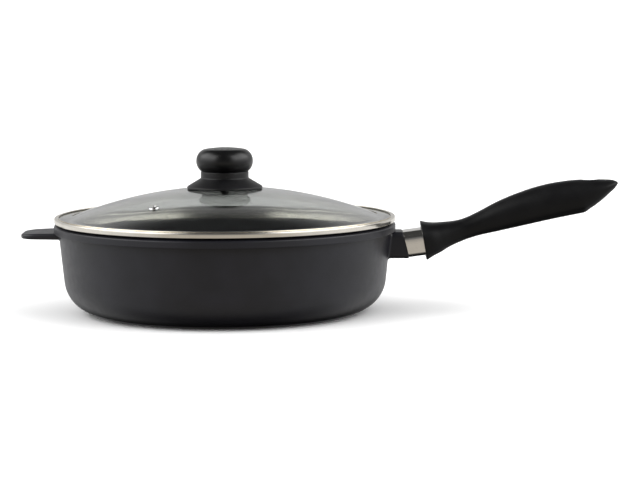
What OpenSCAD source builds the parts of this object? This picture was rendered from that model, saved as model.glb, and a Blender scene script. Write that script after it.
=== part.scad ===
// Saute pan of cast aluminium with a domed glass lid, a long screwed-on handle and a cast helper tongue.
// Lengths are in millimetres. The origin is the centre of the base's underside.
// +X runs towards the long handle and +Z is up.

/* [Pan] */
// Outer diameter of the rim band
rim_d = 288; // [276:1:300]
// Height of the rim's outer edge above the surface that the pan stands on
rim_h = 74.4; // [70:0.2:84]
// Height of the thicker band round the rim
rim_band_h = 6.1; // [5:0.1:7]
// How far the rim band stands out from the wall below it
rim_step = 4; // [3:0.1:5]
// How far the rim's seat for the lid stands above its outer edge
rim_crown = 1.6; // [1.2:0.1:2]
// Rounding of the rim's outer top edge
rim_round = 1.2; // [0.8:0.1:1.6]
// Thickness of the wall
wall_t = 3.2; // [2.8:0.1:4]
// Thickness of the base
base_t = 5.5; // [4.5:0.1:7]
// Outward lean of the wall, in degrees
wall_taper = 5.8; // [4.5:0.1:7]
// Outer radius between wall and base
corner_r = 29; // [26:0.5:32]
// Inner radius between wall and floor
floor_r = 24; // [21:0.5:26]
// Turn of the outer radius, in degrees, that the flat base cuts off
foot_arc = 10; // [8:0.5:12]
// Height of the turned face's edge
foot_h = 1; // [0.6:0.1:1.4]

/* [Base rings] */
// Number of turned grooves in the underside
groove_count = 8; // [4:1:8]
// Radius of the innermost groove
groove_r = 34; // [30:1:38]
// Distance from the outermost groove to the edge of the flat base
groove_margin = 15; // [12:0.5:20]
// Width of a groove
groove_w = 1.4; // [1:0.1:2]
// Depth of a groove
groove_depth = 0.4; // [0.2:0.1:0.6]

/* [Helper tongue] */
// How far the tongue reaches out from the rim band
tongue_reach = 27.3; // [22:0.1:34]
// Width of the tongue at its end
tongue_w = 46; // [40:1:52]
// How much wider the tongue is at the pan
tongue_flare = 6; // [4:0.5:8]
// Thickness of the tongue
tongue_t = 5.4; // [4.8:0.1:6]
// Radius of the tongue's corners, seen from above
tongue_corner_r = 13; // [11:0.5:15]
// Rounding of the tongue's edges
tongue_round = 1.7; // [1.2:0.1:2]
// How far the tongue's top lies above the step under the rim band
tongue_rise = 0.6; // [0.2:0.1:1]
// How much the tongue's top drops towards its end
tongue_drop = 1.2; // [0.6:0.1:1.6]

/* [Handle boss] */
// How far the middle of the boss's end stands out from the wall's top radius
boss_reach = 12.5; // [11:0.5:14]
// Height of the boss's middle above the surface that the pan stands on
boss_z = 55.8; // [54:0.2:56.4]
// Width of the boss
boss_w = 31; // [29:0.5:31]
// Height of the boss
boss_h = 22.4; // [21:0.2:22.8]
// How far the boss's middle stands above the handle's line
boss_lift = 0.6; // [0:0.1:0.7]
// Radius of the boss's long edges
boss_corner_r = 4.5; // [3.5:0.1:5]
// Length of the tenon that the flame guard slides over
tenon_l = 6; // [5:0.5:7]

/* [Flame guard] */
// Outer width of the flame guard
guard_w = 32; // [31.5:0.1:32.5]
// Outer height of the flame guard
guard_h = 22; // [21.6:0.1:22.4]
// Outer radius of the flame guard's long edges
guard_corner_r = 5; // [4.5:0.1:6]
// Sheet thickness of the flame guard
guard_t = 0.8; // [0.6:0.1:1]
// How far the flame guard sits above the screw's axis at the boss
guard_lift = 0.9; // [0.6:0.1:1.2]
// Rise of the flame guard's long edges, in degrees
guard_rise = 7.5; // [6.5:0.5:9]
// Depth of the pocket in the handle that the flame guard sits in
guard_seat = 4; // [3:0.5:4.5]

/* [Handle grip] */
// Rise of the handle's screw axis, in degrees
handle_rise = 14; // [13:0.5:15]
// Distance from the boss's end to the handle's collar, along the screw's axis
guard_show = 15.3; // [14:0.1:18]
// Length of the grip along the screw's axis
grip_l = 170.6; // [160:0.2:185]
// Thickness that the grip's side outline is drawn to
grip_h = 30; // [29.5:0.5:33]
// Full width of the grip at the palm
grip_w = 34; // [33.5:0.5:37]
// Rounding of the collar's front edge
collar_round = 0.9; // [0.6:0.1:1.2]
// Lean of the collar's front face from square to the screw, in degrees
collar_lean = 4.5; // [0:0.5:6]
// Bluntness of the grip's section at the collar: 2 is an ellipse and more is squarer
grip_section = 2.5; // [2.4:0.1:2.8]
// Bluntness of the grip's section at the tail
tail_section = 2.1; // [2:0.1:2.5]
// Diameter of the hole that the pan hangs by
hang_d = 11; // [9:0.5:12]
// How much wider the hanging hole is moulded below the screwdriver bore, on each side
hang_step = 0.4; // [0.3:0.1:0.6]
// Depth of the chamfer round the hanging hole's upper mouth
hang_chamfer = 3.2; // [2:0.1:3.6]

/* [Handle fastening] */
// Diameter of the handle screw
screw_d = 5; // [4.5:0.1:5.2]
// Diameter of the handle screw's head
screw_head_d = 8.4; // [7.8:0.1:8.6]
// Height of the handle screw's head
screw_head_h = 3.3; // [2.8:0.1:3.8]
// Distance from the boss's end to the seat under the screw's head
screw_seat = 66; // [60:1:72]
// Diameter of the bore that the screwdriver reaches through
access_d = 8.9; // [8.8:0.1:9.2]
// Outer diameter of the threaded insert in the boss
insert_d = 8; // [7.4:0.1:8.6]
// Length of the threaded insert in the boss
insert_l = 13; // [11:0.5:14]
// Thickness of the flat washer under the screw's head
washer_t = 1; // [0.8:0.1:1.2]
// Thickness of the split spring washer
spring_washer_t = 1.2; // [1:0.1:1.4]

/* [Lid] */
// Thickness of the toughened glass
glass_t = 3.5; // [3.2:0.1:4]
// Rise of the glass dome above its flat flange
dome_rise = 24.9; // [22:0.1:28]
// Width of the glass's flat flange
flange_w = 10.5; // [8.5:0.1:12.5]
// Bend radius between dome and flange, at mid thickness
bend_r = 14; // [11:0.5:16]
// Sheet thickness of the steel band
band_t = 0.5; // [0.4:0.05:0.6]
// How far the band's top reaches in over the glass
band_grip = 6.7; // [5.5:0.1:8]
// Radius of the band's rolled outer edges
band_round = 1.2; // [0.9:0.1:1.4]
// Depth of the lip that centres the lid inside the pan
lip_h = 9.8; // [8:0.1:11]
// Gap between the centring lip and the pan's wall
lip_gap = 0.8; // [0.6:0.1:1.2]

/* [Steam vent] */
// Distance of the vent from the lid's axis
vent_r = 89; // [78:1:98]
// Direction of the vent round the lid, in degrees
vent_angle = 232; // [210:1:260]
// Diameter of the eyelet's flange
eyelet_d = 9; // [8:0.1:10]
// Diameter of the hole in the glass for the eyelet
eyelet_hole_d = 5.8; // [5.4:0.1:6.4]
// Diameter of the eyelet's steam hole
eyelet_bore_d = 3.2; // [2.8:0.1:3.6]
// Height of the eyelet's flange above the glass
eyelet_h = 1.6; // [1.3:0.1:2]

/* [Knob] */
// Height of the knob above the top of the glass dome
knob_h = 33.5; // [31.8:0.1:36]
// Height of the moulded skirt above the top of the glass dome
skirt_h = 13.5; // [12.8:0.1:14.6]
// Greatest diameter of the knob's head
knob_d = 48; // [45:0.1:50]
// Distance between the middles of the two rounded flanks of the knob's head
knob_top_d = 30; // [27:0.1:31]
// Slope of the head's crowned top where it meets the flanks, in degrees
knob_crown = 9.2; // [6:0.2:12]
// Diameter of the skirt's rim
skirt_d = 63.5; // [59:0.5:66]
// Diameter of the skirt's neck
neck_d = 40.4; // [38.5:0.1:41]
// Height of the neck's straight part
neck_h = 5.9; // [5:0.1:6.4]
// Height of the skirt's rim
skirt_rim_h = 2.4; // [2:0.1:3]
// Rounding of the skirt's edges
skirt_round = 1; // [0.8:0.1:1.2]
// Wall thickness of the skirt
skirt_t = 2.6; // [2.2:0.1:3]
// Diameter of the post inside the skirt
post_d = 13; // [12:0.1:14]
// Diameter of the locating spigot between skirt and head
spigot_d = 24; // [20:0.5:26]
// Height of the locating spigot
spigot_h = 1.4; // [1:0.1:1.8]

/* [Knob fastening] */
// Diameter of the knob screw
knob_screw_d = 4; // [3.8:0.1:4.2]
// Diameter of the knob screw's head
knob_screw_head_d = 7.6; // [7:0.1:8]
// Height of the knob screw's head
knob_screw_head_h = 2.2; // [1.8:0.1:2.6]
// Diameter of the hole at the centre of the glass
glass_hole_d = 9; // [8.6:0.1:10]
// Diameter of the silicone grommet's flanges
grommet_d = 12.6; // [12:0.1:13]
// Thickness of each of the grommet's flanges
grommet_t = 0.9; // [0.7:0.1:1.1]
// Diameter of the steel washer under the glass
knob_washer_d = 10.4; // [9.8:0.1:11]
// Thickness of the steel washer under the glass
knob_washer_t = 0.8; // [0.6:0.1:1]
// Outer diameter of the brass insert in the knob's head
knob_insert_d = 8; // [7.4:0.1:9]
// Length of the brass insert in the knob's head
knob_insert_l = 10; // [8:0.5:11]

/* [Hidden] */
$fn = 128;
// Overrun of every cut past the face it opens
over = 1;
// Gap between pieces that are assembled and stay put
fit = 0.1;
// Radial gap of a screw in its thread, where the thread itself is left out
thread_fit = 0.05;
// Radial gap of a screw in a plain hole
screw_fit = 0.3;
// Gap between the lid and the pan
seat_gap = 0.3;
// Gap between the tenon or the nose and the inside of the flame guard
guard_fit = 0.25;
// Steps of a quarter round in an outline
quarter = 8;

// Outline of the grip seen from the side: [share of its length, height above the screw's axis as a share
// of grip_h]
grip_top_shares = [[0, 0.555], [0.015, 0.51], [0.05, 0.435], [0.082, 0.39], [0.114, 0.36], [0.163, 0.318],
    [0.202, 0.306], [0.242, 0.33], [0.311, 0.415], [0.409, 0.55], [0.508, 0.634], [0.606, 0.678],
    [0.655, 0.679], [0.754, 0.636], [0.852, 0.539], [0.931, 0.424], [0.98, 0.337], [1, 0.26]];
grip_bottom_shares = [[0, -0.57], [0.04, -0.49], [0.075, -0.44], [0.105, -0.38], [0.14, -0.33],
    [0.163, -0.308], [0.212, -0.271], [0.271, -0.253], [0.36, -0.268], [0.508, -0.29], [0.626, -0.307],
    [0.724, -0.332], [0.804, -0.354], [0.834, -0.3], [0.87, -0.22], [0.906, -0.13], [0.948, 0],
    [0.98, 0.1], [1, 0.2]];
// Half width of the grip seen from above, as a share of grip_w
grip_side_shares = [[0, 0.61], [0.045, 0.57], [0.094, 0.49], [0.153, 0.41], [0.212, 0.355],
    [0.271, 0.345], [0.37, 0.385], [0.508, 0.46], [0.645, 0.5], [0.764, 0.495], [0.862, 0.45],
    [0.931, 0.38], [0.97, 0.3], [0.99, 0.21], [1, 0.12]];
// Height of the grip's widest line between its bottom and its top
grip_belt_shares = [[0, 0.5], [0.212, 0.5], [0.606, 0.42], [0.803, 0.45], [1, 0.55]];
// Places of the sections along the grip
grip_station_shares = concat([0, 0.005], [for (i = [1 : 31]) i * 0.026], [0.818, 0.83, 0.845, 0.86,
    0.875, 0.89, 0.905, 0.92, 0.935, 0.95, 0.96, 0.97, 0.98, 0.988, 0.995, 1]);
// Points round one section of the grip
grip_points = 40;
// Place of the hanging hole's mouth along the grip
hang_share = 0.875;
// Half height of the ellipse that the flanks of the knob's head follow, as a share of the head's height
flank_share = 0.51;
// Part of the grip's length over which the collar's lean fades out
collar_share = 0.12;

// Radii and heights of the pan
rim_r = rim_d / 2;
step_z = rim_h - rim_band_h;
seat_z = rim_h + rim_crown;
wall_top_r = rim_r - rim_step;
corner_z = foot_h + corner_r;
corner_end_z = corner_z - corner_r * sin(wall_taper);
corner_x = wall_top_r - (step_z - corner_end_z) * tan(wall_taper) - corner_r * cos(wall_taper);
foot_r = corner_x + corner_r * sin(foot_arc);
groove_pitch = (foot_r - groove_margin - groove_r) / (groove_count - 1);
floor_z = base_t + floor_r;
floor_end_z = floor_z - floor_r * sin(wall_taper);
floor_x = wall_top_r - wall_t - (step_z - floor_end_z) * tan(wall_taper) - floor_r * cos(wall_taper);

// Heights of the lid, from the seat on the rim upwards
band_bottom_z = seat_z + seat_gap;
glass_bottom_z = band_bottom_z + band_t + fit / 2;
flange_z = glass_bottom_z + glass_t / 2;
band_top_z = glass_bottom_z + glass_t + fit / 2 + band_t;
band_r = rim_r - seat_gap;
glass_r = band_r - band_t - fit / 2;
lip_bottom_z = band_bottom_z - lip_h;
lip_r = mouth_r(lip_bottom_z) - lip_gap;
bend_x = glass_r - flange_w;
dome_h = dome_rise - bend_r;
dome_r = (bend_x * bend_x + dome_h * dome_h - bend_r * bend_r) / (2 * dome_rise);
dome_z = flange_z + dome_rise - dome_r;
dome_a = atan2(bend_x, dome_r - dome_h);
apex_z = dome_z + dome_r + glass_t / 2;
under_z = apex_z - glass_t;

// Heights of the knob's pieces, from the glass outwards
grommet_top_z = apex_z + grommet_t;
skirt_top_z = apex_z + skirt_h;
knob_top_z = apex_z + knob_h;
grommet_bottom_z = under_z - grommet_t;
knob_washer_z = grommet_bottom_z - knob_washer_t;
knob_insert_z = skirt_top_z + spigot_h + fit;

// Places along the handle's screw
boss_x = wall_top_r + boss_reach;
collar_s = guard_show;
nose_end_s = collar_s + guard_seat;
insert_end_s = tenon_l - fit;
insert_start_s = insert_end_s - insert_l;
hang_top = smooth(grip_top_shares, hang_share) * grip_h;
hang_s = collar_s + hang_share * grip_l;
hang_x = boss_x + hang_s * cos(handle_rise) - hang_top * sin(handle_rise);
hang_z = boss_z + hang_s * sin(handle_rise) + hang_top * cos(handle_rise);
hang_wide_r = hang_d / 2 + hang_step;
hang_level_z = boss_z + (hang_x + hang_wide_r - boss_x) * tan(handle_rise)
    + access_d / 2 / cos(handle_rise) + fit;

// Radius of the pan's inner wall at a height
function mouth_r(z) = wall_top_r - wall_t + (z - step_z) * tan(wall_taper);

// Points along an arc about c
function arc(c, r, from, to, steps) =
    [for (i = [0 : steps]) let (a = from + (to - from) * i / steps) c + r * [cos(a), sin(a)]];

// Polygon of a strip of sheet, t thick, that follows a line of points
function along(p, i) = (p[i + 1] - p[i]) / norm(p[i + 1] - p[i]);
function square_to(d) = [-d[1], d[0]];
function mitre(p, i) =
    let (a = square_to(along(p, max(i - 1, 0))), b = square_to(along(p, min(i, len(p) - 2))))
    (a + b) / (1 + a * b);
function strip(p, t) = concat(
    [for (i = [0 : len(p) - 1]) p[i] + mitre(p, i) * t / 2],
    [for (i = [len(p) - 1 : -1 : 0]) p[i] - mitre(p, i) * t / 2]);

// Smooth curve through a table of [place, value] that never swings past its knots
function rise(t, i) = (t[i + 1][1] - t[i][1]) / (t[i + 1][0] - t[i][0]);
function knot_rise(t, i) =
    i == 0 ? rise(t, 0) :
    i == len(t) - 1 ? rise(t, i - 1) :
    rise(t, i - 1) * rise(t, i) <= 0 ? 0 :
    2 * rise(t, i - 1) * rise(t, i) / (rise(t, i - 1) + rise(t, i));
function knot(t, x, i = 0) = (i >= len(t) - 2 || x < t[i + 1][0]) ? i : knot(t, x, i + 1);
function smooth(t, x) =
    let (i = knot(t, x), w = t[i + 1][0] - t[i][0], u = (x - t[i][0]) / w)
    t[i][1] * (1 + 2 * u) * pow(1 - u, 2) + t[i + 1][1] * u * u * (3 - 2 * u)
    + w * (knot_rise(t, i) * u * pow(1 - u, 2) + knot_rise(t, i + 1) * u * u * (u - 1));

// Rectangle with rounded corners about the origin
module rounded_rect(w, h, r) {
    polygon([for (k = [0 : 3])
        let (sx = (k == 0 || k == 3) ? 1 : -1, sy = k < 2 ? 1 : -1)
        each arc([sx * (w / 2 - r), sy * (h / 2 - r)], r, k * 90, k * 90 + 90, quarter)]);
}

// Puts its children on the handle's screw: x runs along the screw from the boss's end
module on_screw() {
    translate([boss_x, 0, boss_z]) rotate([0, -handle_rise, 0]) children();
}

// A bar along the flame guard, its ends cut square to the screw
module guard_bar(w, h, r, from, to) {
    on_screw() intersection() {
        translate([from, -grip_w, -grip_w]) cube([to - from, 2 * grip_w, 2 * grip_w]);
        rotate([0, handle_rise - guard_rise, 0]) translate([-grip_l / 2, 0, guard_lift])
            rotate([90, 0, 90]) linear_extrude(grip_l) rounded_rect(w, h, r);
    }
}

// A round bar along the screw
module screw_bar(d, from, to) {
    on_screw() translate([from, 0, 0]) rotate([0, 90, 0]) cylinder(d = d, h = to - from);
}

// Cross recess in a screw's head, cut down from the origin
module cross_recess(d, depth) {
    slot = d / 5;
    for (turn = [0, 90]) rotate([0, 0, turn])
        translate([-d / 2, -slot / 2, -depth]) cube([d, slot, depth + over]);
}

// Section of the cast pan: turned foot, round corner, leaning wall, rim band and crowned seat
module pan_section() {
    land_r = mouth_r(seat_z) + rim_crown;
    edge = rim_round / 2;
    polygon(concat(
        [[0, 0], [foot_r, 0]],
        arc([corner_x, corner_z], corner_r, foot_arc - 90, -wall_taper, 3 * quarter),
        [[wall_top_r, step_z]],
        arc([rim_r - edge, step_z + edge], edge, -90, 0, quarter / 2),
        arc([rim_r - rim_round, rim_h - rim_round], rim_round, 0, 75, quarter),
        [[land_r, seat_z]],
        arc([mouth_r(seat_z) + edge, seat_z - edge], edge, 90, 180, quarter / 2),
        arc([floor_x, floor_z], floor_r, -wall_taper, -90, 2 * quarter),
        [[0, base_t]]));
}

// Helper tongue: a flat cast lug with rounded corners and edges that thins towards its end
module tongue() {
    z = step_z + tongue_rise - tongue_t;
    root = wall_top_r - wall_t / 2;
    end = rim_r + tongue_reach - tongue_corner_r;
    end_y = tongue_w / 2 - tongue_corner_r;
    root_y = end_y + tongue_flare / 2;
    hull() for (side = [-1, 1]) {
        translate([-end, side * end_y, z]) pebble(tongue_corner_r, tongue_t - tongue_drop);
        translate([-root, side * root_y, z]) pebble(tongue_corner_r, tongue_t);
    }
}

// A round disc with rounded edges
module pebble(r, h) {
    rotate_extrude($fn = 32) polygon(concat([[0, 0]],
        arc([r - tongue_round, tongue_round], tongue_round, -90, 0, quarter / 2),
        arc([r - tongue_round, h - tongue_round], tongue_round, 0, 90, quarter / 2),
        [[0, h]]));
}

// Cast boss that carries the handle, with a tenon for the flame guard
module boss() {
    intersection() {
        translate([mouth_r(boss_z) + wall_t / 2, 0, boss_z + boss_lift]) rotate([90, 0, 90])
            linear_extrude(2 * boss_reach + wall_t) rounded_rect(boss_w, boss_h, boss_corner_r);
        on_screw() translate([-grip_l, -grip_w, -grip_w]) cube([grip_l, 2 * grip_w, 2 * grip_w]);
    }
    inner_w = guard_w - 2 * (guard_t + guard_fit);
    inner_h = guard_h - 2 * (guard_t + guard_fit);
    guard_bar(inner_w, inner_h, guard_corner_r - guard_t - guard_fit, -boss_reach / 3, tenon_l);
}

module pan_body() color([0.22, 0.22, 0.24]) {
    difference() {
        union() {
            rotate_extrude() pan_section();
            difference() {
                union() {
                    tongue();
                    boss();
                }
                // Keeps the boss and the tongue out of the cavity
                cylinder(r1 = mouth_r(0) + wall_t / 2, r2 = mouth_r(2 * rim_h) + wall_t / 2, h = 2 * rim_h);
            }
        }
        screw_bar(insert_d + 2 * fit, insert_start_s - fit, tenon_l + over);
        for (i = [0 : groove_count - 1]) translate([0, 0, -over]) difference() {
            cylinder(r = groove_r + i * groove_pitch + groove_w, h = over + groove_depth);
            translate([0, 0, -over]) cylinder(r = groove_r + i * groove_pitch, h = 3 * over + groove_depth);
        }
    }
}

// Threaded steel insert pressed into the boss
module boss_insert() color([0.6, 0.6, 0.62]) {
    difference() {
        screw_bar(insert_d, insert_start_s, insert_end_s);
        screw_bar(screw_d + 2 * thread_fit, insert_start_s - over, insert_end_s + over);
    }
}

// Drawn steel sleeve between boss and handle
module flame_guard() color([0.75, 0.73, 0.7]) {
    r = guard_corner_r;
    difference() {
        guard_bar(guard_w, guard_h, r, fit, nose_end_s - fit);
        guard_bar(guard_w - 2 * guard_t, guard_h - 2 * guard_t, r - guard_t, -over, nose_end_s + over);
    }
}

// One section of the grip at a share t of its length, drawn in by inset. Sections near the collar lean with
// its front face
function grip_ring(t, inset) =
    let (top = smooth(grip_top_shares, t) * grip_h - inset,
        bottom = smooth(grip_bottom_shares, t) * grip_h + inset,
        side = smooth(grip_side_shares, t) * grip_w - inset,
        belt = bottom + (top - bottom) * smooth(grip_belt_shares, t),
        blunt = 2 / (grip_section + (tail_section - grip_section) * t),
        lean = tan(collar_lean) * max(0, 1 - t / collar_share))
    [for (k = [0 : grip_points - 1])
        let (a = 360 * k / grip_points, c = cos(a), s = sin(a),
            h = belt + (s > 0 ? top - belt : belt - bottom) * sign(s) * pow(abs(s), blunt))
        [collar_s + t * grip_l + h * lean, side * sign(c) * pow(abs(c), blunt), h]];

// Grip lofted through its sections
module grip_loft() {
    n = grip_points;
    last = len(grip_station_shares) - 1;
    rings = [for (i = [0 : last])
        each grip_ring(grip_station_shares[i], i == 0 ? collar_round : 0)];
    sides = [for (i = [0 : last - 1], k = [0 : n - 1])
        let (a = i * n + k, b = i * n + (k + 1) % n)
        each [[a, a + n, b], [b, a + n, b + n]]];
    ends = [[for (k = [0 : n - 1]) k], [for (k = [n - 1 : -1 : 0]) last * n + k]];
    on_screw() polyhedron(rings, concat(sides, ends), convexity = 6);
}

module handle_grip() color([0.09, 0.09, 0.1]) {
    gap = guard_fit;
    inner_w = guard_w - 2 * (guard_t + gap);
    inner_h = guard_h - 2 * (guard_t + gap);
    difference() {
        union() {
            difference() {
                grip_loft();
                guard_bar(guard_w + 2 * gap, guard_h + 2 * gap, guard_corner_r + gap, tenon_l, nose_end_s);
            }
            guard_bar(inner_w, inner_h, guard_corner_r - guard_t - gap, tenon_l + fit, nose_end_s + over);
        }
        screw_bar(screw_d + 2 * screw_fit, 0, screw_seat + over);
        screw_bar(access_d, screw_seat, collar_s + grip_l + grip_h);
        translate([hang_x, 0, hang_level_z - over])
            cylinder(d = hang_d, h = hang_z - hang_level_z + 2 * over);
        translate([hang_x, 0, hang_level_z - 2 * grip_h]) cylinder(r = hang_wide_r, h = 2 * grip_h);
        translate([hang_x, 0, hang_z - hang_chamfer])
            cylinder(d1 = hang_d, d2 = hang_d + 4 * hang_chamfer, h = 2 * hang_chamfer);
    }
}

// Long screw that clamps the handle and the flame guard to the boss
module handle_screw() color([0.7, 0.7, 0.72]) {
    head_s = screw_seat + washer_t + spring_washer_t + 2 * fit;
    difference() {
        union() {
            screw_bar(screw_d, insert_start_s + fit, head_s + fit);
            screw_bar(screw_head_d, head_s, head_s + screw_head_h);
        }
        on_screw() translate([head_s + screw_head_h, 0, 0]) rotate([0, 90, 0])
            cross_recess(screw_head_d * 0.6, screw_head_h * 0.6);
    }
}

module flat_washer() color([0.7, 0.7, 0.72]) {
    difference() {
        screw_bar(screw_head_d, screw_seat, screw_seat + washer_t);
        screw_bar(screw_d + 2 * screw_fit, screw_seat - over, screw_seat + washer_t + over);
    }
}

// Split washer that keeps the screw tight
module spring_washer() color([0.55, 0.55, 0.58]) {
    start_s = screw_seat + washer_t + fit;
    split = spring_washer_t / 2;
    difference() {
        screw_bar(screw_head_d - 2 * fit, start_s, start_s + spring_washer_t);
        screw_bar(screw_d + 2 * screw_fit, start_s - over, start_s + spring_washer_t + over);
        on_screw() translate([start_s - over, -split / 2, 0])
            cube([spring_washer_t + 2 * over, split, screw_head_d]);
    }
}

// Puts its children on the glass at a distance r from the axis, z along the glass's own normal
module on_dome(r, angle) {
    rotate([0, 0, angle]) translate([0, 0, dome_z]) rotate([0, asin(r / dome_r), 0])
        translate([0, 0, dome_r]) children();
}

// Pressed dome of toughened glass with a bend and a flat flange
module lid_glass() color([0.7, 0.78, 0.76, 0.4]) {
    half = glass_t / 2;
    difference() {
        rotate_extrude() polygon(concat(
            arc([0, dome_z], dome_r + half, 90, 90 - dome_a, 4 * quarter),
            arc([bend_x, flange_z + bend_r], bend_r - half, 270 - dome_a, 270, quarter),
            arc([glass_r - half, flange_z], half, 90, -90, quarter),
            arc([bend_x, flange_z + bend_r], bend_r + half, 270, 270 - dome_a, quarter),
            arc([0, dome_z], dome_r - half, 90 - dome_a, 90, 4 * quarter)));
        translate([0, 0, under_z - over]) cylinder(d = glass_hole_d, h = glass_t + 2 * over);
        on_dome(vent_r, vent_angle) translate([0, 0, -glass_t])
            cylinder(d = eyelet_hole_d, h = 2 * glass_t);
    }
}

// Steel strip rolled round the glass's edge, with a lip that hangs inside the pan
module lid_band() color([0.82, 0.8, 0.76]) {
    half = band_t / 2;
    r = band_round - half;
    rotate_extrude() polygon(strip(concat(
        [[band_r - band_grip, band_top_z - half]],
        arc([band_r - band_round, band_top_z - band_round], r, 90, 0, quarter / 2),
        arc([band_r - band_round, band_bottom_z + band_round], r, 0, -90, quarter / 2),
        arc([lip_r - half + r, band_bottom_z + half - r], r, 90, 180, quarter / 2),
        [[lip_r - half, lip_bottom_z]]), band_t));
}

// Rolled steel eyelet that lets steam out
module vent_eyelet() color([0.85, 0.85, 0.86]) {
    half = glass_t / 2 + fit;
    bore = eyelet_bore_d / 2;
    shank = eyelet_hole_d / 2 - fit;
    flange = eyelet_d / 2;
    on_dome(vent_r, vent_angle) rotate_extrude($fn = 64) polygon(concat(
        [[bore, -half - eyelet_h / 3], [bore, half + eyelet_h / 2]],
        arc([bore + eyelet_h / 2, half + eyelet_h / 2], eyelet_h / 2, 180, 90, quarter / 2),
        arc([flange - eyelet_h, half], eyelet_h, 60, 0, quarter / 2),
        [[shank, half], [shank, -half], [flange * 0.9, -half], [flange * 0.8, -half - eyelet_h / 3]]));
}

// Rounded head of the knob
module knob_head() color([0.07, 0.07, 0.08]) {
    bulge = (knob_d - knob_top_d) / 2;
    tall = (knob_top_z - skirt_top_z) * flank_share;
    high = atan2(tall, bulge * tan(knob_crown));
    crown_r = (knob_top_d / 2 + bulge * cos(high)) / sin(knob_crown);
    crown_z = knob_top_z - crown_r;
    middle_z = crown_z + crown_r * cos(knob_crown) - tall * sin(high);
    low = -asin((middle_z - skirt_top_z) / tall);
    difference() {
        rotate_extrude() polygon(concat([[0, skirt_top_z]],
            [for (i = [0 : 3 * quarter]) let (a = low + (high - low) * i / (3 * quarter))
                [knob_top_d / 2 + bulge * cos(a), middle_z + tall * sin(a)]],
            arc([0, crown_z], crown_r, 90 - knob_crown, 90, quarter)));
        translate([0, 0, skirt_top_z - over]) cylinder(d = spigot_d + 2 * fit, h = spigot_h + fit + over);
        translate([0, 0, skirt_top_z])
            cylinder(d = knob_insert_d + 2 * fit, h = knob_insert_z + knob_insert_l + fit - skirt_top_z);
    }
}

// Moulded skirt that carries the head and keeps the fingers off the glass
module knob_skirt() color([0.13, 0.13, 0.14]) {
    rim = skirt_d / 2;
    neck = neck_d / 2;
    rim_z = rest_z(rim) + 2 * fit;
    edge = skirt_round;
    shoulder_z = skirt_top_z - neck_h;
    flare_a = atan2(shoulder_z - rim_z - skirt_rim_h, rim - edge - neck);
    inner_drop = skirt_t / cos(flare_a);
    inner_neck = neck - skirt_t;
    inner_rim = rim - skirt_t - edge;
    slope = tan(flare_a);
    difference() {
        rotate_extrude() polygon(concat(
            [[0, skirt_top_z + spigot_h], [spigot_d / 2, skirt_top_z + spigot_h],
                [spigot_d / 2, skirt_top_z]],
            arc([neck - edge, skirt_top_z - edge], edge, 90, 0, quarter / 2),
            arc([neck + edge, shoulder_z + edge * (1 - slope / 2)], edge, 180, 270 - flare_a, quarter / 2),
            arc([rim - edge, rim_z + skirt_rim_h - edge], edge, 90 - flare_a, 0, quarter / 2),
            arc([rim - edge / 2, rim_z + edge / 2], edge / 2, 0, -90, quarter / 2),
            [[inner_rim, rest_z(inner_rim) + 2 * fit],
                [inner_neck, shoulder_z - inner_drop + (neck - inner_neck) * slope],
                [inner_neck, skirt_top_z - skirt_t],
                [post_d / 2, skirt_top_z - skirt_t],
                [post_d / 2, grommet_top_z + fit],
                [0, grommet_top_z + fit]]));
        translate([0, 0, apex_z]) cylinder(d = knob_screw_d + 2 * screw_fit, h = knob_h);
    }
}

// Height of the glass's upper face at a radius
function rest_z(r) = dome_z + sqrt(pow(dome_r + glass_t / 2, 2) - r * r);

module knob_insert() color([0.8, 0.65, 0.3]) {
    translate([0, 0, knob_insert_z]) difference() {
        cylinder(d = knob_insert_d, h = knob_insert_l);
        translate([0, 0, -over]) cylinder(d = knob_screw_d + 2 * thread_fit, h = knob_insert_l + 2 * over);
    }
}

// Screw from under the glass into the knob's insert
module knob_screw() color([0.75, 0.75, 0.77]) {
    tip_z = knob_insert_z + knob_insert_l - fit;
    difference() {
        union() {
            translate([0, 0, knob_washer_z - fit])
                cylinder(d = knob_screw_d, h = tip_z - knob_washer_z + fit);
            translate([0, 0, knob_washer_z - fit - knob_screw_head_h])
                cylinder(d1 = knob_screw_head_d * 0.8, d2 = knob_screw_head_d, h = knob_screw_head_h);
        }
        translate([0, 0, knob_washer_z - fit - knob_screw_head_h]) rotate([180, 0, 0])
            cross_recess(knob_screw_head_d * 0.6, knob_screw_head_h * 0.6);
    }
}

module knob_washer() color([0.75, 0.75, 0.77]) {
    translate([0, 0, knob_washer_z]) difference() {
        cylinder(d = knob_washer_d, h = knob_washer_t);
        translate([0, 0, -over]) cylinder(d = knob_screw_d + 2 * screw_fit, h = knob_washer_t + 2 * over);
    }
}

// Silicone grommet that keeps the metal and the plastic off the glass
module glass_grommet() color([0.15, 0.15, 0.15]) {
    neck = glass_hole_d / 2 - fit;
    flange = grommet_d / 2;
    hole = knob_screw_d / 2 + screw_fit;
    rotate_extrude() polygon([[hole, grommet_bottom_z], [flange, grommet_bottom_z],
        [flange, under_z - fit], [neck, under_z - fit], [neck, apex_z + fit], [flange, apex_z + fit],
        [flange, grommet_top_z], [hole, grommet_top_z]]);
}

pan_body();
boss_insert();
flame_guard();
handle_grip();
handle_screw();
spring_washer();
flat_washer();
lid_glass();
lid_band();
vent_eyelet();
knob_head();
knob_skirt();
knob_insert();
knob_screw();
knob_washer();
glass_grommet();
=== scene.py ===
"""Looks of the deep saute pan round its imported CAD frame: surfaces, finishes, stage, light and camera.

Lengths in the shapes are millimetres, in the frame of the CAD: the origin is the middle of the base's
underside, x runs towards the handle and z runs up. A piece goes into Blender in metres."""

import math

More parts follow.
